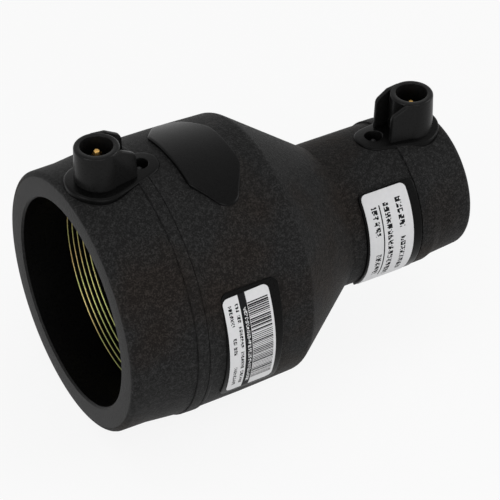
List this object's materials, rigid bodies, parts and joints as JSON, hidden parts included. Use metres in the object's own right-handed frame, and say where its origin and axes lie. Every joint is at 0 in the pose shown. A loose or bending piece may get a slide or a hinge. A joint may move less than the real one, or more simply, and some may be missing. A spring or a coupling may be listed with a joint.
{
  "type": "electrofusion reducer",
  "caption": "Black polyethylene reducing coupler with a heating coil in each socket, shrouded terminals on top and two side labels.",
  "frame": {"origin": "centre of the large socket's mouth, on the bore axis", "axes": "+X along the bore from the large mouth to the small mouth, +Z along the terminal pins and out of their shrouds, -Y to the side with the labels"},
  "size_m": [0.125, 0.0828, 0.0934],
  "materials": {
    "black_polyethylene": "fine matte moulded texture",
    "heating_wire": "bare resistance wire",
    "terminal_brass": "turned",
    "indicator_plastic": "satin",
    "label_paper": "printed sticker"
  },
  "bodies": {
    "root": {"fitting_body": "black_polyethylene", "large_heating_coil": "heating_wire", "small_heating_coil": "heating_wire", "large_terminal_pin": "terminal_brass", "small_terminal_pin": "terminal_brass", "large_indicator_pin": "indicator_plastic", "small_indicator_pin": "indicator_plastic", "barcode_label": "label_paper", "data_label": "label_paper"}
  },
  "joints": []
}
